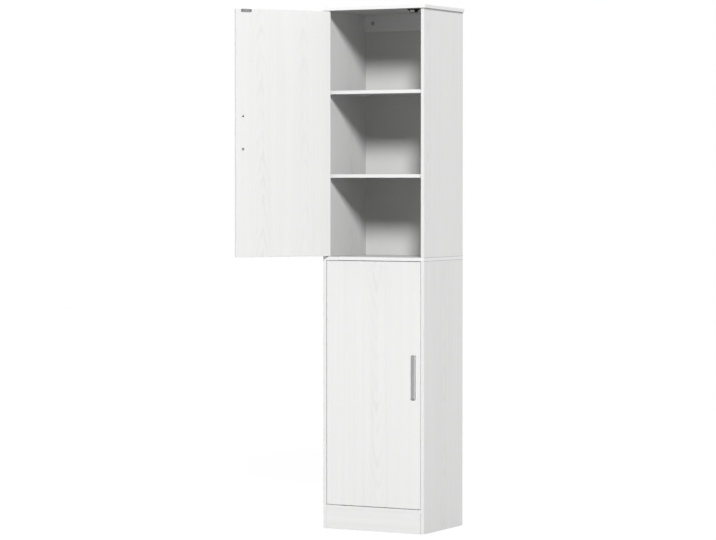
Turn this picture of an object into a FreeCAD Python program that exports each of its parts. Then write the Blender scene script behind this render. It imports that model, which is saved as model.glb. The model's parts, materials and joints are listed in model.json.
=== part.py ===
import FreeCAD, Part

import math
import os

# Tall bathroom cabinet of laminated board: two boxes, one on the other, each with a flush
# door hung on the left. Millimetres. The origin is on the floor under the centre of the
# carcass, X runs to the right, Y to the back and Z up. The upper door is drawn open.

# ---------------------------------------------------------------- driving dimensions
# Carcass
overall_height = 1800.0
carcass_width = 390.0
carcass_depth = 300.0
board = 12.0
top_overhang = 5.0
kick_height = 70.0
rail_height = 60.0
edge_break = 0.5

# Back panels, held in grooves
back_thickness = 3.0
back_inset = 6.0
groove_depth = 4.0
groove_play = 0.1
groove_end_play = 0.5

# Shelves, each given by the height of its top above the floor of its box
shelf_tops = (284.0, 572.0)
shelf_side_play = 0.5
shelf_back_play = 0.5
shelf_behind_screws = 0.4

# Doors
door_thickness = 12.0
door_gap_ends = 2.0
door_gap_hinge = 2.5
door_gap_free = 1.5
upper_door_open_angle = 123.3

# Pivot hinges
pivot_from_side = 6.7
pivot_from_front = 3.0
leaf_length = 44.0
leaf_width = 11.0
leaf_thickness = 1.2
leaf_corner = 2.0
leaf_screw_places = (16.0, 32.0)
leaf_screw_stagger = 2.0
pin_radius = 1.5
pin_running_play = 0.05
pin_into_door = 3.0
pin_relief_play = 0.4
pin_tip_room = 0.5
washer_thickness = 0.6
washer_radius = 2.8

# Handles
handle_length = 149.0
handle_width = 15.0
handle_projection = 8.5
handle_edge_round = 2.0
handle_hole_spacing = 112.0
handle_from_free_edge = 25.0
upper_handle_height = 423.5
lower_handle_height = 450.0
handle_screw_radius = 2.0
handle_screw_grip = 6.0
handle_screw_play = 0.25
handle_head_radius = 4.0
handle_head_height = 2.6

# Magnetic catches and strike plates
catch_from_free_edge = 38.5
catch_body_width = 24.0
catch_body_depth = 20.0
catch_body_height = 13.0
catch_body_round = 1.5
catch_ear_span = 46.0
catch_ear_depth = 12.0
catch_ear_thickness = 4.5
catch_slot_spacing = 36.0
catch_slot_length = 5.6
catch_slot_radius = 1.6
pole_width = 18.0
pole_depth = 14.0
pole_thickness = 1.2
pole_proud = 0.6
pole_play = 0.1
pole_to_strike = 0.3
pack_below_board = 8.2
magnet_height = 3.0
magnet_recess = 1.5
strike_length = 40.0
strike_height = 10.5
strike_thickness = 1.2
strike_corner = 2.0
strike_below_edge = 0.7
strike_screw_spacing = 29.0

# Screws of hinges and strikes: countersunk; screws of catches: pan head. The cross for the
# driver is given in shares of the head's radius
small_head_radius = 2.7
small_neck_radius = 1.5
small_head_height = 1.2
small_shank_radius = 1.2
small_length_in_board = 11.0
small_length_in_door = 16.0
small_length_strike = 9.0
catch_head_radius = 2.8
catch_head_height = 1.8
catch_shank_radius = 1.3
catch_screw_in_board = 9.0
tip_length = 2.0
cross_arm = 0.55
cross_half_width = 0.15
cross_depth = 0.38

# Shelf supports
support_radius = 2.5
support_pin_drop = 3.2
support_in_wall = 8.0
support_plate_width = 9.0
support_plate_height = 8.0
support_plate_thickness = 1.2
support_tongue_length = 9.0
support_tongue_thickness = 1.6
support_rib_thickness = 2.4
support_from_front = 36.0
support_from_back = 36.0

# Dowels, cam locks, long screws, caps and nails
dowel_radius = 3.0
dowel_in_face = 9.0
dowel_in_end = 21.0
dowel_end_room = 0.5
dowel_chamfer = 0.6
cam_pocket_radius = 7.5
cam_pocket_depth = 9.5
cam_play = 0.1
cam_from_end = 34.0
cam_cavity_radius = 4.4
cam_cavity_height = 6.8
cam_slot_width = 4.6
cam_cross_length = 9.0
cam_cross_width = 1.6
cam_cross_depth = 1.8
cam_bore_radius = 3.5
bolt_thread_radius = 2.4
bolt_in_face = 9.0
bolt_collar_radius = 3.4
bolt_collar_height = 1.5
bolt_neck_radius = 2.0
bolt_head_radius = 3.1
bolt_head_length = 4.0
long_screw_length = 40.0
long_screw_radius = 2.5
long_head_radius = 3.6
long_head_height = 2.6
long_socket_radius = 2.0
long_socket_depth = 1.8
cap_radius = 6.0
cap_thickness = 1.0
cap_stem_radius = 1.7
cap_stem_length = 1.5
nail_radius = 0.7
nail_length = 16.0
nail_head_radius = 1.5
nail_head_height = 0.5
nail_spacing = 120.0

# Where the fasteners lie, measured along the depth of the boards
long_screw_offset = 110.0
cam_offset = 92.0
dowel_offset_above = 75.0
dowel_offset_below = 55.0
kick_dowel_rise = 20.0
rail_dowel_rise = 20.0

# ---------------------------------------------------------------- places worked out
left = -carcass_width / 2
right = carcass_width / 2
front = -carcass_depth / 2
rear = carcass_depth / 2
inner_left = left + board
inner_right = right - board
opening_height = (overall_height - kick_height - 3 * board) / 2
bottom_top = kick_height + board
middle_under = bottom_top + opening_height
middle_top = middle_under + board
top_under = middle_top + opening_height
back_rear = rear - back_inset
back_front = back_rear - back_thickness
door_left = inner_left + door_gap_hinge
door_right = inner_right - door_gap_free
door_inner = front + door_thickness
door_height = opening_height - 2 * door_gap_ends
pivot_x = inner_left + pivot_from_side
pivot_y = front + pivot_from_front
shelf_front = door_inner + handle_head_height + shelf_behind_screws
rail_under = top_under - rail_height
rail_front = back_front - board
rail_middle = top_under - rail_height / 2

X = FreeCAD.Vector(1, 0, 0)
Y = FreeCAD.Vector(0, 1, 0)
Z = FreeCAD.Vector(0, 0, 1)

nodes = {}


# ---------------------------------------------------------------- shape helpers
def block(x, y, z):
    """A box from its low and high places along each axis."""
    corner = FreeCAD.Vector(x[0], y[0], z[0])
    return Part.makeBox(x[1] - x[0], y[1] - y[0], z[1] - z[0], corner)


def rod(radius, start, end):
    """A round bar along local X, from start to end."""
    return Part.makeCylinder(radius, end - start, X * start, X)


def taper(radius_start, radius_end, start, end):
    """A cone along local X, from start to end."""
    return Part.makeCone(radius_start, radius_end, end - start, X * start, X)


def joined(shapes):
    """Shapes of one solid, fused and cleaned of inner seams."""
    return shapes[0].fuse(shapes[1:]).removeSplitter()


def cut(shape, tools):
    return shape.cut(tools) if tools else shape


def placed(shape, point, along, up):
    """A shape drawn about its own axes, with its X turned to along and its Z to up."""
    side = up.cross(along)
    matrix = FreeCAD.Matrix(
        along.x, side.x, up.x, point.x,
        along.y, side.y, up.y, point.y,
        along.z, side.z, up.z, point.z,
        0, 0, 0, 1)
    copy = shape.copy()
    copy.Placement = FreeCAD.Placement(matrix)
    return copy


def panel(x, y, z):
    """A board with all its sharp edges broken."""
    board_shape = block(x, y, z)
    return board_shape.makeChamfer(edge_break, board_shape.Edges)


def rounded_plate(x, y, z, corner):
    """A plate that lies flat, with its four upright corners rounded."""
    plate = block(x, y, z)
    upright = [e for e in plate.Edges if abs(e.tangentAt(e.FirstParameter).z) > 0.99]
    return plate.makeFillet(corner, upright)


# ---------------------------------------------------------------- fasteners
def dowel(point, into_end):
    """A dowel across a joint plane, and the holes that it is glued into."""
    body = rod(dowel_radius, -dowel_in_face, dowel_in_end)
    ends = [e for e in body.Edges if e.Curve.TypeId == "Part::GeomCircle"]
    body = body.makeChamfer(dowel_chamfer, ends)
    hole = rod(dowel_radius, -dowel_in_face - dowel_end_room, dowel_in_end + dowel_end_room)
    up = X if abs(into_end.x) < 0.5 else Z
    return placed(body, point, into_end, up), placed(hole, point, into_end, up)


def cam_joint(point, into_end, pocket_side):
    """A cam lock in the end of one board and its bolt in the face of the other.

    point is where the bolt's axis crosses the joint, into_end points into the cam's board
    and pocket_side out of the face that the cam is let into. Returns the cam, the bolt,
    what is bored out of the cam's board and what is bored out of the bolt's board.
    """
    face = board / 2
    floor = face - cam_pocket_depth
    centre = X * cam_from_end
    pocket = Part.makeCylinder(cam_pocket_radius, cam_pocket_depth, centre + Z * floor, Z)
    cam = Part.makeCylinder(cam_pocket_radius - cam_play, cam_pocket_depth - cam_play,
                            centre + Z * floor, Z)
    cavity = Part.makeCylinder(cam_cavity_radius, cam_cavity_height,
                               centre - Z * (cam_cavity_height / 2), Z)
    cavity = cavity.common(cam.translated(Z * cam_play))
    half = cam_slot_width / 2
    slot = block((cam_from_end - cam_pocket_radius, cam_from_end), (-half, half), (-half, half))
    arm = cam_cross_length / 2
    width = cam_cross_width / 2
    depth = (face - cam_play - cam_cross_depth, face)
    cross = [block((cam_from_end - arm, cam_from_end + arm), (-width, width), depth),
             block((cam_from_end - width, cam_from_end + width), (-arm, arm), depth)]
    cam = cam.cut([cavity, slot] + cross)
    head_start = cam_from_end - bolt_head_length / 2
    bolt = joined([
        rod(bolt_thread_radius, -bolt_in_face, 0),
        rod(bolt_collar_radius, 0, bolt_collar_height),
        rod(bolt_neck_radius, bolt_collar_height, head_start),
        rod(bolt_head_radius, head_start, head_start + bolt_head_length)])
    bored = joined([pocket, rod(cam_bore_radius, 0, cam_from_end)])
    pilot = rod(bolt_thread_radius, -bolt_in_face, 0)
    return [placed(s, point, into_end, pocket_side) for s in (cam, bolt, bored, pilot)]


def long_screw(point, into_end, capped):
    """A screw through the face of one board into the end of the next, and its hole.

    Where it is capped the head is let in by the thickness of the cap, which lies flush.
    """
    top = -board + (cap_thickness if capped else 0)
    neck = top + long_head_height
    end = -board + long_screw_length
    outer = [
        taper(long_head_radius, long_screw_radius, top, neck),
        rod(long_screw_radius, neck, end - tip_length),
        taper(long_screw_radius, long_screw_radius / 3, end - tip_length, end)]
    socket = rod(long_socket_radius, top, top + long_socket_depth)
    screw = joined(outer).cut(socket)
    hole = joined(outer)
    if capped:
        hole = joined([hole, rod(cap_radius, -board, top)])
    return placed(screw, point, into_end, Y), placed(hole, point, into_end, Y)


def screw_cap(point, into_end):
    """A round cap, flush over a long screw, with a stem in the screw's socket."""
    top = -board
    cap = joined([
        rod(cap_radius, top, top + cap_thickness),
        rod(cap_stem_radius, top + cap_thickness, top + cap_thickness + cap_stem_length)])
    return placed(cap, point, into_end, Y)


def cross_recess(head_radius, top):
    """The two crossed slots for the driver, let into a screw's head from top on."""
    arm = (-head_radius * cross_arm, head_radius * cross_arm)
    width = (-head_radius * cross_half_width, head_radius * cross_half_width)
    depth = (top, top + head_radius * cross_depth)
    return [block(depth, arm, width), block(depth, width, arm)]


def small_screw(point, into, length):
    """A countersunk wood screw whose head is flush at point, and its hole."""
    hole = joined([
        taper(small_head_radius, small_neck_radius, 0, small_head_height),
        rod(small_shank_radius, small_head_height, length - tip_length),
        taper(small_shank_radius, small_shank_radius / 3, length - tip_length, length)])
    screw = hole.cut(cross_recess(small_head_radius, 0))
    up = Z if abs(into.z) < 0.5 else X
    return placed(screw, point, into, up), placed(hole, point, into, up)


def pan_screw(point, into, head_radius, head_height, shank_radius, length):
    """A pan-head screw whose head stands on the surface at point, and its hole."""
    head = rod(head_radius, -head_height, 0)
    rim = [e for e in head.Edges
           if e.Curve.TypeId == "Part::GeomCircle" and e.CenterOfMass.x < -head_height / 2]
    head = head.makeFillet(head_height * 0.6, rim)
    hole = joined([head, rod(shank_radius, 0, length)])
    screw = hole.cut(cross_recess(head_radius, -head_height))
    up = Z if abs(into.z) < 0.5 else X
    return placed(screw, point, into, up), placed(hole, point, into, up)


def screw_row(kind, points, *sizes):
    """The same screw at each point: all the screws, and all their holes."""
    pairs = [kind(point, *sizes) for point in points]
    return [screw for screw, hole in pairs], [hole for screw, hole in pairs]


# ---------------------------------------------------------------- joints of the carcass
def carcass_fasteners():
    """Every fastener that joins two boards, with the holes that each board needs for it."""
    holes = {name: [] for name in (
        "top_panel", "middle_panel", "bottom_panel", "kick_board", "hanging_rail",
        "upper_left_side", "upper_right_side", "lower_left_side", "lower_right_side")}
    dowels, rail_cams, base_cams, bolts, screws, caps = [], [], [], [], [], []

    def add_dowel(point, into_end, boards):
        body, hole = dowel(point, into_end)
        dowels.append(body)
        for name in boards:
            holes[name].append(hole)

    def add_cam(point, into_end, pocket_side, cam_board, bolt_board, cams):
        cam, bolt, bored, pilot = cam_joint(point, into_end, pocket_side)
        cams.append(cam)
        bolts.append(bolt)
        holes[cam_board].append(bored)
        holes[bolt_board].append(pilot)

    for name, sign in (("left", -1), ("right", 1)):
        upper = "upper_" + name + "_side"
        lower = "lower_" + name + "_side"
        edge = sign * (carcass_width / 2 - board / 2)
        wall = sign * (carcass_width / 2 - board)
        inward = X * -sign
        for depth in (-1, 1):
            # the top panel lies on the upper sides, and these stand on the middle panel
            place = FreeCAD.Vector(edge, depth * long_screw_offset, top_under)
            screw, hole = long_screw(place, -Z, True)
            screws.append(screw)
            caps.append(screw_cap(place, -Z))
            holes["top_panel"].append(hole)
            holes[upper].append(hole)
            place = FreeCAD.Vector(edge, depth * long_screw_offset, middle_top)
            screw, hole = long_screw(place, Z, False)
            screws.append(screw)
            holes["middle_panel"].append(hole)
            holes[upper].append(hole)
            place = FreeCAD.Vector(edge, depth * dowel_offset_above, top_under)
            add_dowel(place, -Z, ("top_panel", upper))
            place = FreeCAD.Vector(edge, depth * dowel_offset_above, middle_top)
            add_dowel(place, Z, ("middle_panel", upper))
            # the middle panel is drawn down on the lower sides by cam locks
            place = FreeCAD.Vector(edge, depth * cam_offset, middle_under)
            add_cam(place, -Z, inward, lower, "middle_panel", base_cams)
            place = FreeCAD.Vector(edge, depth * dowel_offset_below, middle_under)
            add_dowel(place, -Z, ("middle_panel", lower))
            # the bottom panel hangs between the lower sides
            place = FreeCAD.Vector(wall, depth * cam_offset, bottom_top - board / 2)
            add_cam(place, inward, -Z, "bottom_panel", lower, base_cams)
            place = FreeCAD.Vector(wall, depth * dowel_offset_below, bottom_top - board / 2)
            add_dowel(place, inward, ("bottom_panel", lower))
            # dowels above and below the cam lock of the kick board and of the hanging rail
            rise = kick_height / 2 + depth * kick_dowel_rise
            place = FreeCAD.Vector(wall, front + board / 2, rise)
            add_dowel(place, inward, ("kick_board", lower))
            rise = rail_middle + depth * rail_dowel_rise
            place = FreeCAD.Vector(wall, rail_front + board / 2, rise)
            add_dowel(place, inward, ("hanging_rail", upper))
        place = FreeCAD.Vector(wall, front + board / 2, kick_height / 2)
        add_cam(place, inward, Y, "kick_board", lower, base_cams)
        place = FreeCAD.Vector(wall, rail_front + board / 2, rail_middle)
        add_cam(place, inward, -Y, "hanging_rail", upper, rail_cams)

    nodes["dowels"] = dowels
    nodes["hanging_rail_cams"] = rail_cams
    nodes["base_cams"] = base_cams
    nodes["cam_bolts"] = bolts
    nodes["long_screws"] = screws
    nodes["top_screw_caps"] = caps
    return holes


def shelf_heights():
    """The underside of every shelf, with the name of its node."""
    rows = []
    for box_name, floor in (("lower", bottom_top), ("upper", middle_top)):
        for place, top in zip(("low", "high"), shelf_tops):
            rows.append((box_name, box_name + "_shelf_" + place, floor + top - board))
    return rows


def shelf_support():
    """A support drawn at the left wall: pin in the wall, plate on it, tongue under the shelf.

    Its origin is on the wall's face, at the shelf's underside, and X points off the wall.
    """
    half = support_plate_width / 2
    pin = Part.makeCylinder(support_radius, support_in_wall + support_plate_thickness,
                            X * -support_in_wall - Z * support_pin_drop, X)
    plate = block((0, support_plate_thickness), (-half, half), (-support_plate_height, 0))
    tongue = block((0, support_tongue_length), (-half, half), (-support_tongue_thickness, 0))
    rib_foot = -support_plate_height + support_tongue_thickness
    corners = [(0, 0), (support_tongue_length - support_tongue_thickness, 0), (0, rib_foot)]
    points = [FreeCAD.Vector(x, -support_rib_thickness / 2, z) for x, z in corners]
    rib = Part.Face(Part.makePolygon(points + points[:1])).extrude(Y * support_rib_thickness)
    return joined([plate, tongue, pin, rib])


def shelves_and_supports(holes):
    drawn = shelf_support()
    hole = rod(support_radius, -support_in_wall, 0)
    ends = (front + support_from_front, back_front - support_from_back)
    for box_name, shelf_name, under in shelf_heights():
        nodes[shelf_name] = [panel(
            (inner_left + shelf_side_play, inner_right - shelf_side_play),
            (shelf_front, back_front - shelf_back_play),
            (under, under + board))]
        supports = nodes.setdefault(box_name + "_shelf_supports", [])
        for side_name, wall, off_wall in (("left", inner_left, X), ("right", inner_right, -X)):
            for y in ends:
                corner = FreeCAD.Vector(wall, y, under)
                supports.append(placed(drawn, corner, off_wall, Z))
                centre = corner - Z * support_pin_drop
                holes[box_name + "_" + side_name + "_side"].append(
                    placed(hole, centre, off_wall, Z))


# ---------------------------------------------------------------- pivot hinges
def pivot_hinge(door_end, into_door, frame_face, stagger):
    """The parts of one pivot hinge, for a door that is drawn shut.

    door_end and frame_face are the heights of the door's end and of the board's face that
    it turns against, into_door points from that board to the door.
    """
    up = into_door.z
    start = pivot_x - pivot_from_side + door_gap_hinge
    leaf_x = (start, start + leaf_length)
    leaf_y = (front, front + leaf_width)
    axis = FreeCAD.Vector(pivot_x, pivot_y, 0)

    def level(height, amount):
        low, high = sorted((height, height + up * amount))
        return (low, high)

    def screw_points(height, sign):
        rows = []
        for count, place in enumerate(leaf_screw_places):
            side = sign * leaf_screw_stagger * (1 if count % 2 else -1)
            rows.append(FreeCAD.Vector(pivot_x + place, front + leaf_width / 2 + side, height))
        return rows

    # the frame leaf lies on the board, and its riveted pin stands through the door leaf
    frame_top = frame_face + up * leaf_thickness
    pin_length = abs(door_end - frame_top) + leaf_thickness + pin_into_door
    frame_leaf = rounded_plate(leaf_x, leaf_y, level(frame_face, leaf_thickness), leaf_corner)
    pin = Part.makeCylinder(pin_radius, pin_length, axis + Z * frame_top, into_door)
    tip = [e for e in pin.Edges if e.Curve.TypeId == "Part::GeomCircle"
           and abs(e.CenterOfMass.z - (frame_top + up * pin_length)) < 0.01]
    pin = pin.makeChamfer(pin_radius / 3, tip)
    frame_screws, frame_holes = screw_row(
        small_screw, screw_points(frame_top, stagger), -into_door, small_length_in_board)
    frame_leaf = cut(joined([frame_leaf, pin]), frame_holes)
    # the door turns on a washer on the pin
    washer = Part.makeCylinder(washer_radius, washer_thickness, axis + Z * frame_top, into_door)
    bore = Part.makeCylinder(pin_radius + pin_running_play, washer_thickness,
                             axis + Z * frame_top, into_door)
    washer = washer.cut(bore)
    # the door leaf is let in flush with the end of the door
    door_leaf = rounded_plate(leaf_x, leaf_y, level(door_end, leaf_thickness), leaf_corner)
    pin_hole = Part.makeCylinder(pin_radius + pin_running_play, leaf_thickness,
                                 axis + Z * door_end, into_door)
    door_screws, door_holes = screw_row(
        small_screw, screw_points(door_end, -stagger), into_door, small_length_in_door)
    recess = door_leaf.copy()
    door_leaf = cut(door_leaf, door_holes + [pin_hole])
    relief = Part.makeCylinder(pin_radius + pin_relief_play,
                               leaf_thickness + pin_into_door + pin_tip_room,
                               axis + Z * door_end, into_door)
    return {
        "frame_leaf": frame_leaf, "washer": washer, "door_leaf": door_leaf,
        "frame_screws": frame_screws, "door_screws": door_screws,
        "frame_holes": frame_holes, "door_tools": [recess, relief] + door_holes}


# ---------------------------------------------------------------- doors
def handle_and_screws(door_bottom, height):
    """A low bar across the front of a shut door, and the two screws that hold it."""
    centre_x = door_right - handle_from_free_edge
    centre_z = door_bottom + height
    bar = block(
        (centre_x - handle_width / 2, centre_x + handle_width / 2),
        (front - handle_projection, front),
        (centre_z - handle_length / 2, centre_z + handle_length / 2))
    outer = [e for e in bar.Edges if e.BoundBox.YMax < front - handle_edge_round]
    bar = bar.makeFillet(handle_edge_round, outer)
    points = [FreeCAD.Vector(centre_x, door_inner, centre_z + side * handle_hole_spacing / 2)
              for side in (-1, 1)]
    screws, shanks = screw_row(pan_screw, points, -Y, handle_head_radius, handle_head_height,
                               handle_screw_radius, door_thickness + handle_screw_grip)
    bore = rod(handle_screw_radius + handle_screw_play, 0, door_thickness)
    return cut(bar, shanks), screws, [placed(bore, point, -Y, Z) for point in points]


def strike_and_screws(door_top):
    """The steel plate that the magnet pulls on, inside the door at its top."""
    centre_x = door_right - catch_from_free_edge
    high = door_top - strike_below_edge
    drawn = rounded_plate(
        (-strike_length / 2, strike_length / 2), (-strike_height / 2, strike_height / 2),
        (0, strike_thickness), strike_corner)
    centre = FreeCAD.Vector(centre_x, door_inner, high - strike_height / 2)
    plate = placed(drawn, centre, X, Y)
    points = [centre + X * (side * strike_screw_spacing / 2) + Y * strike_thickness
              for side in (-1, 1)]
    screws, holes = screw_row(small_screw, points, -Y, small_length_strike)
    return cut(plate, holes), screws, holes


def door_and_fittings(box_name, box_floor, handle_height, open_angle, board_holes):
    """A door with all that turns with it, and the hinge parts that stay on the carcass."""
    box_ceiling = box_floor + opening_height
    bottom = box_floor + door_gap_ends
    top = bottom + door_height
    hinges = {
        "bottom": pivot_hinge(bottom, Z, box_floor, 1),
        "top": pivot_hinge(top, -Z, box_ceiling, -1)}
    bar, bar_screws, bar_holes = handle_and_screws(bottom, handle_height)
    plate, plate_screws, plate_holes = strike_and_screws(top)
    door = panel((door_left, door_right), (front, door_inner), (bottom, top))
    tools = bar_holes + plate_holes
    for hinge in hinges.values():
        tools = tools + hinge["door_tools"]
    moving = {
        "door": [door.cut(tools)],
        "handle": [bar],
        "handle_screws": bar_screws,
        "strike_plate": [plate],
        "strike_screws": plate_screws,
        "hinge_top_door_leaf": [hinges["top"]["door_leaf"]],
        "hinge_bottom_door_leaf": [hinges["bottom"]["door_leaf"]],
        "hinge_door_screws": hinges["top"]["door_screws"] + hinges["bottom"]["door_screws"]}
    axis_point = FreeCAD.Vector(pivot_x, pivot_y, 0)
    for name, shapes in moving.items():
        turned = [s.rotated(axis_point, Z, -open_angle) for s in shapes]
        nodes[box_name + "_" + name] = turned
    for place, hinge in hinges.items():
        nodes[box_name + "_hinge_" + place + "_frame_leaf"] = [hinge["frame_leaf"]]
    nodes[box_name + "_hinge_washers"] = [h["washer"] for h in hinges.values()]
    nodes.setdefault("hinge_frame_screws", [])
    nodes["hinge_frame_screws"] += hinges["bottom"]["frame_screws"]
    nodes["hinge_frame_screws"] += hinges["top"]["frame_screws"]
    below, above = board_holes
    below += hinges["bottom"]["frame_holes"]
    above += hinges["top"]["frame_holes"]


# ---------------------------------------------------------------- magnetic catches
def magnetic_catch(box_name, ceiling, board_holes):
    """A catch screwed up under a board: housing with ears, magnet between two pole plates."""
    centre_x = door_right - catch_from_free_edge
    strike_face = door_inner + strike_thickness
    pole_front = strike_face + pole_to_strike
    body_front = pole_front + pole_proud
    body_bottom = ceiling - catch_body_height
    half = catch_body_width / 2
    body = block((centre_x - half, centre_x + half),
                 (body_front, body_front + catch_body_depth), (body_bottom, ceiling))
    lower = [e for e in body.Edges if e.BoundBox.ZMin < ceiling - catch_body_round]
    body = body.makeFillet(catch_body_round, lower)
    ear_middle = body_front + catch_body_depth / 2
    half = catch_ear_span / 2
    ears = rounded_plate(
        (centre_x - half, centre_x + half),
        (ear_middle - catch_ear_depth / 2, ear_middle + catch_ear_depth / 2),
        (ceiling - catch_ear_thickness, ceiling), catch_ear_depth / 3)
    housing = joined([body, ears])

    # the pack of magnet and pole plates sits loose in a pocket, open to the front
    pack_height = magnet_height + 2 * pole_thickness
    pack_middle = ceiling - pack_below_board
    low = pack_middle - pack_height / 2
    high = pack_middle + pack_height / 2
    half = pole_width / 2
    pocket = block((centre_x - half - pole_play, centre_x + half + pole_play),
                   (body_front, pole_front + pole_depth + pole_play),
                   (low - pole_play, high + pole_play))
    plates = [block((centre_x - half, centre_x + half), (pole_front, pole_front + pole_depth), z)
              for z in ((low, low + pole_thickness), (high - pole_thickness, high))]
    magnet = block((centre_x - half, centre_x + half),
                   (pole_front + magnet_recess, pole_front + pole_depth),
                   (low + pole_thickness, high - pole_thickness))

    # each ear has a slot, so that the catch can be set forward or back
    seats = [FreeCAD.Vector(centre_x + side * catch_slot_spacing / 2, ear_middle,
                            ceiling - catch_ear_thickness) for side in (-1, 1)]
    screws, holes = screw_row(pan_screw, seats, Z, catch_head_radius, catch_head_height,
                              catch_shank_radius, catch_ear_thickness + catch_screw_in_board)
    reach = catch_slot_length / 2 - catch_slot_radius
    slots = []
    for seat in seats:
        slots.append(block((seat.x - catch_slot_radius, seat.x + catch_slot_radius),
                           (ear_middle - reach, ear_middle + reach), (seat.z, ceiling)))
        for end in (-reach, reach):
            slots.append(Part.makeCylinder(catch_slot_radius, catch_ear_thickness,
                                           seat + Y * end, Z))
    nodes[box_name + "_catch_housing"] = [cut(housing, slots + [pocket])]
    nodes[box_name + "_catch_poles"] = plates
    nodes[box_name + "_catch_magnet"] = [magnet]
    nodes[box_name + "_catch_screws"] = screws
    board_holes += holes


# ---------------------------------------------------------------- boards
def back_groove(x, z):
    return block(x, (back_front - groove_play, back_rear + groove_play), z)


def back_panels():
    half = (inner_right - inner_left) / 2 + groove_depth - groove_end_play
    reach = groove_depth - groove_end_play
    rows = (("upper", middle_top - reach, top_under + reach),
            ("lower", kick_height, middle_under + reach))
    for name, low, high in rows:
        nodes[name + "_back_panel"] = [block((-half, half), (back_front, back_rear), (low, high))]
    # nails fix the lower panel's foot to the rear edge of the bottom panel
    nails = []
    for count in (-1, 0, 1):
        point = FreeCAD.Vector(count * nail_spacing, back_rear, bottom_top - board / 2)
        nail = joined([rod(nail_head_radius, -nail_head_height, 0),
                       rod(nail_radius, 0, nail_length)])
        nails.append(placed(nail, point, -Y, Z))
    nodes["back_panel_nails"] = nails
    nodes["lower_back_panel"] = [nodes["lower_back_panel"][0].cut(nails)]
    return nails


def boards(holes, nails):
    deep = (front, rear)
    inner = (inner_left, inner_right)
    groove_x = (inner_left - groove_depth, inner_right + groove_depth)
    top = panel((left - top_overhang, right + top_overhang), (front - top_overhang, rear),
                (top_under, overall_height))
    grooves = [back_groove(groove_x, (top_under, top_under + groove_depth))]
    nodes["top_panel"] = [top.cut(holes["top_panel"] + grooves)]

    middle = panel((left, right), deep, (middle_under, middle_top))
    grooves = [back_groove(groove_x, (middle_top - groove_depth, middle_top)),
               back_groove(groove_x, (middle_under, middle_under + groove_depth))]
    nodes["middle_panel"] = [middle.cut(holes["middle_panel"] + grooves)]

    bottom = panel(inner, (front, back_front), (kick_height, bottom_top))
    nodes["bottom_panel"] = [bottom.cut(holes["bottom_panel"] + nails)]
    kick = panel(inner, (front, front + board), (0, kick_height))
    nodes["kick_board"] = [kick.cut(holes["kick_board"])]
    rail = panel(inner, (rail_front, back_front), (rail_under, top_under))
    nodes["hanging_rail"] = [rail.cut(holes["hanging_rail"])]

    for box_name, heights in (("lower", (0, middle_under)), ("upper", (middle_top, top_under))):
        for side_name, span, groove in (
                ("left", (left, inner_left), (inner_left - groove_depth, inner_left)),
                ("right", (inner_right, right), (inner_right, inner_right + groove_depth))):
            name = box_name + "_" + side_name + "_side"
            side = panel(span, deep, heights)
            nodes[name] = [side.cut(holes[name] + [back_groove(groove, heights)])]


# ---------------------------------------------------------------- the whole cabinet
board_holes = carcass_fasteners()
shelves_and_supports(board_holes)
door_and_fittings("lower", bottom_top, lower_handle_height, 0.0,
                  (board_holes["bottom_panel"], board_holes["middle_panel"]))
door_and_fittings("upper", middle_top, upper_handle_height, upper_door_open_angle,
                  (board_holes["middle_panel"], board_holes["top_panel"]))
magnetic_catch("lower", middle_under, board_holes["middle_panel"])
magnetic_catch("upper", top_under, board_holes["top_panel"])
boards(board_holes, back_panels())

os.makedirs("parts", exist_ok=True)
for node_name, solids in nodes.items():
    shape = solids[0] if len(solids) == 1 else Part.makeCompound(solids)
    shape.exportStep("parts/" + node_name + ".step")
    count = len(shape.Solids)
    print(f"{node_name}: {count} solid(s), {shape.Volume / 1000:.2f} cm3")
print(f"{len(nodes)} nodes")
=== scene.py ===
import json
import math

import bmesh
import bpy
from mathutils import Matrix, Vector


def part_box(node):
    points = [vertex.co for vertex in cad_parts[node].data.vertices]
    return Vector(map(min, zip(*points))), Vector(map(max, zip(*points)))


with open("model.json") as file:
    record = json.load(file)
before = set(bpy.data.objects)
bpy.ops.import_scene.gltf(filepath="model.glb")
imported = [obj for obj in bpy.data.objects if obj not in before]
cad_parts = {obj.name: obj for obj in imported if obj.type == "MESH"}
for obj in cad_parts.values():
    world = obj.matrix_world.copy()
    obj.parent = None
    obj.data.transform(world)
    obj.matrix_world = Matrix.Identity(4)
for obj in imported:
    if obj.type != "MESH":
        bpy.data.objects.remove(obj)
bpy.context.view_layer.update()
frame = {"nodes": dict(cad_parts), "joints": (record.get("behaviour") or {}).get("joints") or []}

# ------------------------------------------------------------------ the camera
# The picture was taken with a long lens from well off to the right, a little above the
# middle of the cabinet. The lens is tipped down a touch and shifted by a fiftieth.
tipped_down = 1.469
round_to_the_right = 28.154
camera = bpy.data.objects.new("camera", bpy.data.cameras.new("camera"))
camera.location = (4.5303, -8.7245, 1.1949)
camera.rotation_euler = (math.radians(90 - tipped_down), 0, math.radians(round_to_the_right))
camera.data.lens = 142.43
camera.data.shift_y = -0.02
bpy.context.scene.collection.objects.link(camera)
bpy.context.scene.camera = camera


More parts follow.
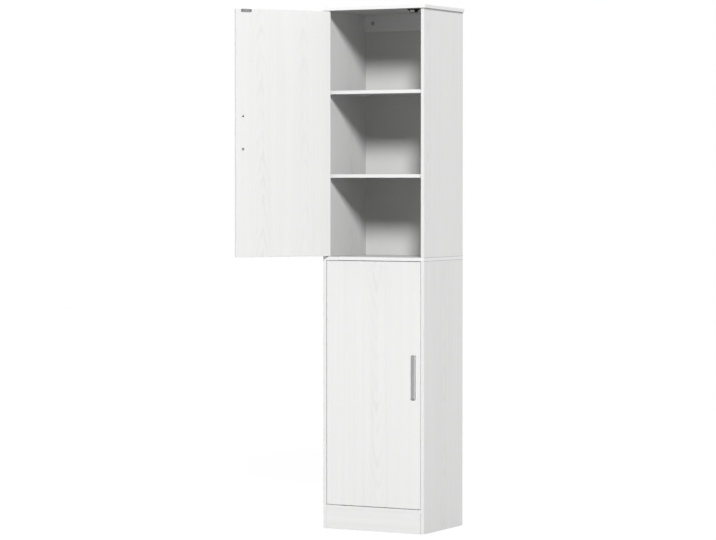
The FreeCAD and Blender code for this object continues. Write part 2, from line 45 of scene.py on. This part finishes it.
# ------------------------------------------------------------------ boards
# Chipboard, 12 mm thick, faced with white laminate. A faint wood grain is printed along
# each board and pressed into it, and every cut edge is closed with a plain white band.
class Shade:
    """One value in a material's node tree. Arithmetic on it adds Math nodes."""

    def __init__(self, tree, socket=None):
        self.tree = tree
        self.socket = socket

    def add(self, kind, inputs, output=0, stops=None, **settings):
        """Adds a node of any kind, sets it up, and sets or links its inputs."""
        node = self.tree.nodes.new(kind)
        for name, value in settings.items():
            setattr(node, name, value)
        if stops:
            ramp = node.color_ramp.elements
            while len(ramp) < len(stops):
                ramp.new(1)
            for element, (place, grey) in zip(ramp, stops):
                element.position = place
                element.color = (grey, grey, grey, 1)
        for name, value in inputs.items():
            if isinstance(value, Shade):
                self.tree.links.new(value.socket, node.inputs[name])
            else:
                node.inputs[name].default_value = value
        return Shade(self.tree, node.outputs[output])

    def math(self, operation, first, second=0.0):
        return self.add("ShaderNodeMath", {0: first, 1: second}, operation=operation)

    def axis(self, letter):
        return self.add("ShaderNodeSeparateXYZ", {"Vector": self}, output=letter)

    def ramp(self, *stops):
        """Grey levels at given values, with straight lines between them."""
        return self.add("ShaderNodeValToRGB", {"Fac": self}, stops=stops)

    def mix(self, first, second):
        """A colour that goes from first to second as this value goes from 0 to 1."""
        return self.add("ShaderNodeMix", {"Factor": self, "A": first, "B": second},
                        output="Result", data_type="RGBA")

    def bump(self, strength, height):
        """Makes this value stand off the surface, by height in metres where it is 1."""
        return self.add("ShaderNodeBump", {"Height": self, "Strength": strength,
                                           "Distance": height})

    def __add__(self, other):
        return self.math("ADD", self, other)

    def __radd__(self, other):
        return self.math("ADD", other, self)

    def __sub__(self, other):
        return self.math("SUBTRACT", self, other)

    def __rsub__(self, other):
        return self.math("SUBTRACT", other, self)

    def __mul__(self, other):
        return self.math("MULTIPLY", self, other)

    def __rmul__(self, other):
        return self.math("MULTIPLY", other, self)

    def __truediv__(self, other):
        return self.math("DIVIDE", self, other)

    def __rtruediv__(self, other):
        return self.math("DIVIDE", other, self)

    def __pow__(self, other):
        return self.math("POWER", self, other)

    def __gt__(self, other):
        return self.math("GREATER_THAN", self, other)

    def __lt__(self, other):
        return self.math("LESS_THAN", self, other)

    def __abs__(self):
        return self.math("ABSOLUTE", self)


def new_material(name, centre=(0, 0, 0), turn=(0, 0, 0), constants=()):
    """A material, with its surface shader and a place in the piece's own axes, in metres.
    constants lists the shader's sockets that have one value all over, with their values."""
    material = bpy.data.materials.new(name)
    material.use_nodes = True
    tree = material.node_tree
    shader = tree.nodes["Principled BSDF"]
    for socket, value in constants:
        shader.inputs[socket].default_value = value
    start = Shade(tree).add("ShaderNodeTexCoord", {}, output="Object")
    place = start.add("ShaderNodeMapping", {"Vector": start, "Location": centre,
                                            "Rotation": turn}, vector_type="TEXTURE")
    return material, shader, place


def finish(material, shader, colour, rough, bump):
    """Gives the surface shader what changes over the surface."""
    for socket, value in (("Base Color", colour), ("Roughness", rough), ("Normal", bump)):
        material.node_tree.links.new(value.socket, shader.inputs[socket])


def stretched_noise(place, scale, seed, detail=2.0):
    """Soft random values from 0 to 1, with so many changes to the metre along each axis."""
    spread = place.add("ShaderNodeMapping", {"Vector": place, "Scale": scale})
    return spread.add("ShaderNodeTexNoise", {"Vector": spread, "W": seed, "Scale": 1.0,
                                             "Detail": detail}, noise_dimensions="4D")


def even_noise(place, scale, seed, detail=2.0):
    """Soft random values that change as fast along every axis."""
    return stretched_noise(place, (scale, scale, scale), seed, detail)


def dress(node, material):
    """Gives a whole piece one material."""
    slots = frame["nodes"][node].data.materials
    slots.clear()
    slots.append(material)


def middle(node):
    low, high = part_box(node)
    return (low + high) / 2


board_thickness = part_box("top_panel")[1].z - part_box("top_panel")[0].z
print_light = (0.862, 0.862, 0.857, 1)
print_dark = (0.745, 0.745, 0.738, 1)
# painted light and shade: one white edge band in two greys, the paler on the top panel, middle
# panel and shelves, the greyer on the sides, bottom panel, kick board and rail
band_painted_light = (0.90, 0.90, 0.895, 1)
band_painted_shade = (0.84, 0.84, 0.835, 1)
# painted shade: the dark put on the broken corners where one board meets the next, for the
# shadow in the gap
joint_shade_colour = (0.12, 0.12, 0.12, 1)

# The arched figures. Widths and lengths are in metres, and arch_pitch runs from one arch to
# the next. The row of arches drifts aside and widens by turns, its lines waver and are
# ragged, and it fades here and there but never quite goes.
arch_pitch = 0.085
arch_width, arch_widening = 0.012, 0.010
arch_drift = 0.05
arch_round_tip = 0.25
arch_slope, arch_flare = 0.5, 1.2
arch_waver, arch_raggedness = 1.7, 1.1
arch_strength = 1.25
arch_fall_off = 0.45
arch_fading = (0.38, 0.2), (0.56, 1)

# how dark each part of the print is. Streaks darken it above streak_start and lighten it below.
arch_tone, streak_tone, pore_tone = 0.38, 0.75, 0.12
streak_start = 0.38
pore_threshold = (0.56, 0), (0.72, 1)

# the gloss, and how deep the print is pressed
laminate_rough, streak_rough, pore_rough, band_smoother = 0.40, 0.08, 0.08, 0.06
pressed_arch, pressed_strength, pressed_depth = 0.4, 0.25, 0.00006

# how far each face's print reaches down its broken edge, and how far the painted shade of a
# joint does
print_reach = 0.0003
joint_shade_reach = 0.0006

# what is added to a seed for the face behind, and for each further figure
next_face, next_figure = 5.0, 3


def laminate(node, across, through, front, back, seed, band=band_painted_light, joint_shade=0.0,
             back_tone=0.0):
    """Laminated board. The grain runs square to across and through. front and back list the
    arched figures on its two faces: how far off the middle of the board each one is, whether
    it points along the grain, 1, or the other way, -1, and how strong it is. The joint
    argument is painted shade: it darkens the broken corners at the board's two ends, where they
    meet the next board, for the shadow in the gap between them. back_tone makes the face behind
    a touch greyer than the one in front."""
    along = across.cross(through)
    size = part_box(node)[1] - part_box(node)[0]
    half_length = abs(size.dot(along)) / 2
    turn = Matrix((across, through, along)).transposed().to_euler()
    material, shader, place = new_material(node + "_laminate", middle(node), turn)
    x, y, z = place.axis("X"), place.axis("Y"), place.axis("Z")
    behind = y > 0
    face = seed + behind * next_face

    # the arches: rings that climb along the board and fall away to both sides
    arch = 0
    figures = [(1 - behind, figure) for figure in front] + [(behind, figure) for figure in back]
    for count, (shown, (offset, point, strength)) in enumerate(figures):
        figure_seed = seed + count * next_figure
        drift = stretched_noise(place, (0, 0, 1.6), figure_seed) - 0.5
        waver = stretched_noise(place, (9, 0, 5), figure_seed, 3.0) - 0.5
        ragged = stretched_noise(place, (80, 0, 26), figure_seed, 3.0) - 0.5
        fade = stretched_noise(place, (10, 0, 4.6), figure_seed + 1).ramp(*arch_fading)
        aside = (x - offset - drift * arch_drift) / (arch_width + drift * arch_widening)
        aside = (aside * aside + arch_round_tip) ** 0.5
        ring = (z * (point / arch_pitch) + aside ** arch_flare * arch_slope
                + waver * arch_waver + ragged * arch_raggedness)
        rings = ring.math("SINE", ring * math.tau) * 0.5 + 0.5
        arch = arch + (shown * fade * (strength * arch_strength) * rings ** 2
                       / (1 + aside * aside * arch_fall_off))

    # long soft streaks, and the fine broken lines of the pores
    streak = stretched_noise(place, (75, 75, 1.4), face, 3.0)
    pore = stretched_noise(place, (620, 620, 16), face, 1.0).ramp(*pore_threshold)
    figure_tone = (arch * arch_tone + (streak - streak_start) * streak_tone + pore * pore_tone
                   + behind * back_tone)

    # a band closes the cut edges, and shows as a fine line where they are broken
    edge = abs(y) < board_thickness / 2 - print_reach
    colour = edge.mix(figure_tone.mix(print_light, print_dark), band)
    # painted shade in the gap where this board's end meets the next board
    if joint_shade:
        joint_shade_mask = ((abs(y) > board_thickness / 2 - joint_shade_reach)
                  * (abs(z) > half_length - joint_shade_reach))
        colour = (joint_shade_mask * joint_shade).mix(colour, joint_shade_colour)
    height = (1 - edge) * (1 - arch * pressed_arch - pore)
    rough = laminate_rough + streak * streak_rough + pore * pore_rough - edge * band_smoother
    finish(material, shader, colour, rough, height.bump(pressed_strength, pressed_depth))
    dress(node, material)


# Sides. Their faces toward the right come first: the inner faces of the left ones and the
# outer faces of the right ones, which the picture shows.
X, Y, Z = Vector((1, 0, 0)), Vector((0, 1, 0)), Vector((0, 0, 1))
# how strongly shade is painted into the joints of the sides and middle panel, and of the kick
# board and rail
side_joint_shade, kick_joint_shade = 0.6, 0.8
for count, (name, offset, point) in enumerate((("upper_left_side", 0.026, 1),
                                               ("upper_right_side", -0.122, -1),
                                               ("lower_left_side", 0.05, 1),
                                               ("lower_right_side", 0.007, 1))):
    laminate(name, Y, -X, [(offset, point, 1)], [(-0.05, 1, 0.6)], 11.0 + count,
             band=band_painted_shade, joint_shade=side_joint_shade)

# Panels and shelves lie flat, with the grain from side to side.
for count, name in enumerate(("top_panel", "middle_panel", "bottom_panel",
                              "lower_shelf_low", "lower_shelf_high",
                              "upper_shelf_low", "upper_shelf_high")):
    laminate(name, Y, Z, [(0.03, 1, 0.6)], [(-0.04, -1, 0.6)], 23.0 + count,
             band=band_painted_shade if name == "bottom_panel" else band_painted_light,
             joint_shade=side_joint_shade if name == "middle_panel" else 0.0)
for count, name in enumerate(("kick_board", "hanging_rail")):
    laminate(name, Z, Y, [], [], 37.0 + count, band=band_painted_shade, joint_shade=kick_joint_shade)

# Both doors have the grain upright. The upper one stands open, so its pattern turns with it.
hinge = next(j for j in frame["joints"] if j["name"] == "upper_door_hinge")
opened = -math.radians(hinge["range_deg"][0])
swung = Matrix.Rotation(-opened, 3, "Z")
inner_face_grey = 0.18
laminate("lower_door", X, Y, [(0.013, -1, 1)], [(-0.02, 1, 1)], 61.0, back_tone=inner_face_grey)
laminate("upper_door", swung @ X, swung @ Y, [(0.02, 1, 1)], [(0.084, 1, 1), (-0.08, 1, 0.6)],
         43.0, back_tone=inner_face_grey)

# ------------------------------------------------------------------ back panels
# Hardboard, 3 mm thick, held in grooves. It is sprayed white, so it has no grain, only the
# fine skin of the spray over pressed fibres.
spray_light = (0.76, 0.76, 0.75, 1)
spray_dark = (0.70, 0.70, 0.69, 1)
mottle_share, fibre_share = 0.5, 0.3
spray_rough, fibre_rough = 0.5, 0.12
fibre_strength, fibre_depth = 0.3, 0.00005
for node in ("upper_back_panel", "lower_back_panel"):
    material, shader, place = new_material(node + "_lacquer", middle(node))
    mottle = even_noise(place, 14, 3.0, 4.0)
    fibre = even_noise(place, 900, 7.0)
    colour = (mottle * mottle_share + fibre * fibre_share).mix(spray_light, spray_dark)
    finish(material, shader, colour, spray_rough + fibre * fibre_rough,
           fibre.bump(fibre_strength, fibre_depth))
    dress(node, material)


# ------------------------------------------------------------------ handles
# A low flat bar of aluminium, drawn, cut to length and brushed from end to end, then
# anodised a mid grey. Two screws through the door hold each one.
def opaque(colour, level=1.0, lift=0.0):
    """A colour made lighter or darker, as the four numbers that a socket takes."""
    return tuple(min(part * level + lift, 1) for part in colour) + (1,)


scratch_share, cloud_share = 0.8, 0.2
scratch_darker, scratch_lighter = 0.86, 1.12
scratch_rough = 0.12
scratch_strength, scratch_depth = 0.15, 0.00004


def brushed(name, colour, roughness, scale, seed, centre=(0, 0, 0), turn=(0, 0, 0), lit_flanks=None):
    """Metal with fine scratches. scale says how fast they change along each axis. The last
    argument gives how far off the middle the bar's flanks start, and how much paler they are
    painted: painted light, where the lamp falls on them."""
    material, shader, place = new_material(name, centre, turn, [("Metallic", 1.0)])
    scratch = stretched_noise(place, scale, seed, 3.0)
    cloud = even_noise(place, 30, seed + 1)
    shade = (scratch * scratch_share + cloud * cloud_share).mix(
        opaque(colour, scratch_darker), opaque(colour, scratch_lighter))
    if lit_flanks:
        start, lit_level = lit_flanks
        # painted light: the flanks, where the lamp falls, are painted paler than the face
        shade = (abs(place.axis("X")) > start).mix(shade, opaque(colour, lit_level))
    rough = roughness - scratch_rough / 2 + scratch * scratch_rough
    finish(material, shader, shade, rough, scratch.bump(scratch_strength, scratch_depth))
    return material


bar_grey = (0.39, 0.39, 0.39)
bar_scratches = (2600, 2600, 12)
# painted light on the bar's flanks: how wide they are and how much paler they are painted
lit_flank_width, flank_painted_light = 0.0008, 2.3
handle_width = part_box("lower_handle")[1].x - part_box("lower_handle")[0].x
for name, turned in (("upper_handle", -opened), ("lower_handle", 0)):
    dress(name, brushed(name + "_aluminium", bar_grey, 0.42, bar_scratches, 1.0, middle(name),
                        (0, 0, turned), lit_flanks=(handle_width / 2 - lit_flank_width, flank_painted_light)))


# ------------------------------------------------------------------ hinges and small steel
# Pressed steel leaves, pins, screws and strike plates, all bright zinc plated, with the
# faint cloudy look that plating has.
plate_cloud = (420, 420, 420)
screw_cloud = (900, 900, 900)
zinc = brushed("zinc_plate", (0.60, 0.60, 0.595), 0.38, plate_cloud, 2.0)
# painted shade: darker copies of the same zinc, for the strike plates and for the screw heads,
# for the shade in their recesses
strike_shaded_zinc = brushed("strike_shaded_zinc", (0.34, 0.34, 0.335), 0.38, plate_cloud, 2.0)
screw_shaded_zinc = brushed("screw_shaded_zinc", (0.20, 0.20, 0.20), 0.34, screw_cloud, 3.0)
handle_screw_shaded_zinc = brushed("handle_screw_shaded_zinc", (0.31, 0.31, 0.31), 0.34, screw_cloud, 3.0)
for box in ("upper", "lower"):
    for name in ("_hinge_top_frame_leaf", "_hinge_bottom_frame_leaf", "_hinge_top_door_leaf",
                 "_hinge_bottom_door_leaf", "_catch_poles"):
        dress(box + name, zinc)
    for name in ("_hinge_door_screws", "_catch_screws", "_strike_screws"):
        dress(box + name, screw_shaded_zinc)
    dress(box + "_strike_plate", strike_shaded_zinc)
    dress(box + "_handle_screws", handle_screw_shaded_zinc)
for name in ("hinge_frame_screws", "cam_bolts", "long_screws", "back_panel_nails"):
    dress(name, screw_shaded_zinc)

# ------------------------------------------------------------------ cam locks
# Zinc die castings, left as they come from the mould: dull, dark and finely pitted.
# Each one turns in its bore and pulls a bolt's head in.
casting = brushed("cam_casting", (0.46, 0.46, 0.46), 0.55, (800, 800, 800), 4.0)
for name in ("hanging_rail_cams", "base_cams"):
    dress(name, casting)


# ------------------------------------------------------------------ plastic parts
# The catches' housings are moulded in black, and the shelf supports, hinge washers and
# screw caps in white. The moulds leave a fine matt grain. The magnet is pressed ferrite,
# which is as matt.
mould_cloud, mould_grain = 0.6, 0.4
mould_lighter, mould_lift = 1.15, 0.002
mould_rough = 0.1
mould_strength, mould_depth = 0.3, 0.00005


def moulded(name, colour, roughness, seed, gloss=0.5):
    """A moulded or pressed part, with a fine matt grain all over."""
    material, shader, place = new_material(name, constants=[("Specular IOR Level", gloss)])
    grain = even_noise(place, 1500, seed, 1.0)
    cloud = even_noise(place, 60, seed + 1)
    shade = (cloud * mould_cloud + grain * mould_grain).mix(
        opaque(colour), opaque(colour, mould_lighter, mould_lift))
    finish(material, shader, shade, roughness + grain * mould_rough,
           grain.bump(mould_strength, mould_depth))
    return material


black_plastic = moulded("catch_plastic", (0.006, 0.006, 0.006), 0.5, 5.0, gloss=0.2)
white_plastic = moulded("white_plastic", (0.80, 0.80, 0.79), 0.40, 6.0)
ferrite = moulded("catch_ferrite", (0.05, 0.05, 0.052), 0.6, 8.0)
for box in ("upper", "lower"):
    dress(box + "_catch_housing", black_plastic)
    dress(box + "_catch_magnet", ferrite)
    dress(box + "_hinge_washers", white_plastic)
    dress(box + "_shelf_supports", white_plastic)
dress("top_screw_caps", white_plastic)

# ------------------------------------------------------------------ dowels
# Turned beech, fluted for the glue, and driven into both boards of every joint. They are
# hidden when the cabinet is together.
beech_dark = (0.50, 0.33, 0.18, 1)
beech_light = (0.68, 0.50, 0.31, 1)
beech_rough, fleck_rough = 0.6, 0.1
fleck_strength, fleck_depth = 0.3, 0.0001
material, shader, place = new_material("beech")
fleck = even_noise(place, 500, 9.0, 3.0)
finish(material, shader, fleck.mix(beech_dark, beech_light), beech_rough + fleck * fleck_rough,
       fleck.bump(fleck_strength, fleck_depth))
dress("dowels", material)


# ------------------------------------------------------------------ walls
# White walls at the left, the right and the rear give the soft light, each strongest straight
# on and none at right angles to it. What looks at the room itself sees plain white.
def looked_at(start):
    """1 where a ray comes from the camera, a gloss or clear stuff, and 0 for plain light."""
    seen = [start.add("ShaderNodeLightPath", {}, output=name)
            for name in ("Is Camera Ray", "Is Glossy Ray", "Is Transmission Ray")]
    return seen[0] + seen[1] + seen[2]


left_level, right_level, rear_level = 1.25, 0.47, 0.80
sky = bpy.data.worlds.new("room")
sky.use_nodes = True
bpy.context.scene.world = sky
background = sky.node_tree.nodes["Background"]
background.inputs["Color"].default_value = (1, 1, 1, 1)
path = Shade(sky.node_tree)
direct = looked_at(path)
toward = path.add("ShaderNodeTexCoord", {}, output="Generated")
to_right, to_rear = toward.axis("X"), toward.axis("Y")
left_wall = to_right.math("MAXIMUM", to_right * -1, 0) * left_level
right_wall = to_right.math("MAXIMUM", to_right, 0) * right_level
rear_wall = to_rear.math("MAXIMUM", to_rear, 0) * rear_level
walls = (left_wall + right_wall + rear_wall) * (1 - direct) + direct
sky.node_tree.links.new(walls.socket, background.inputs["Strength"])

# ------------------------------------------------------------------ floor
# A plain floor. It throws light back as a mid grey one would, but looks white, with a trace of
# the cabinet's shadow.
floor_half = 15.0
floor_grey = (0.55, 0.55, 0.55, 1)
glow_strength, glow_share = 1.1, 0.86
sheet = bmesh.new()
bmesh.ops.create_grid(sheet, x_segments=1, y_segments=1, size=floor_half)
mesh = bpy.data.meshes.new("floor")
sheet.to_mesh(mesh)
sheet.free()
floor = bpy.data.objects.new("floor", mesh)
bpy.context.scene.collection.objects.link(floor)
material = bpy.data.materials.new("white_floor")
material.use_nodes = True
tree = material.node_tree
shader = tree.nodes["Principled BSDF"]
shader.inputs["Base Color"].default_value = floor_grey
shader.inputs["Roughness"].default_value = 0.9
shader.inputs["Specular IOR Level"].default_value = 0.0
plain = Shade(tree, shader.outputs[0])
glow = plain.add("ShaderNodeEmission", {"Strength": glow_strength})
mixed = plain.add("ShaderNodeMixShader", {"Fac": looked_at(plain) * glow_share,
                                          1: plain, 2: glow})
tree.links.new(mixed.socket, tree.nodes["Material Output"].inputs["Surface"])
mesh.materials.append(material)

# ------------------------------------------------------------------ lamp
# One broad round lamp, far off at the front right. lamp_level is what a pure white board that
# faces it sends back. Its light isn't passed on from board to board. That of the walls is.
lamp_distance = 30.0
lamp_height = math.radians(31)
lamp_aside = math.radians(31)
lamp_breadth = math.radians(6)
lamp_level = 0.952
aimed_height = 0.9
lamp = bpy.data.lights.new("lamp", "POINT")
lamp.energy = math.pi * lamp_level * 4 * math.pi * lamp_distance ** 2
lamp.shadow_soft_size = lamp_distance * math.tan(lamp_breadth)
lamp.cycles.max_bounces = 0
lamp_object = bpy.data.objects.new("lamp", lamp)
lamp_object.location = (lamp_distance * math.sin(lamp_aside) * math.cos(lamp_height),
                        -lamp_distance * math.cos(lamp_aside) * math.cos(lamp_height),
                        lamp_distance * math.sin(lamp_height) + aimed_height)
bpy.context.scene.collection.objects.link(lamp_object)
bpy.context.scene.view_settings.view_transform = "Standard"
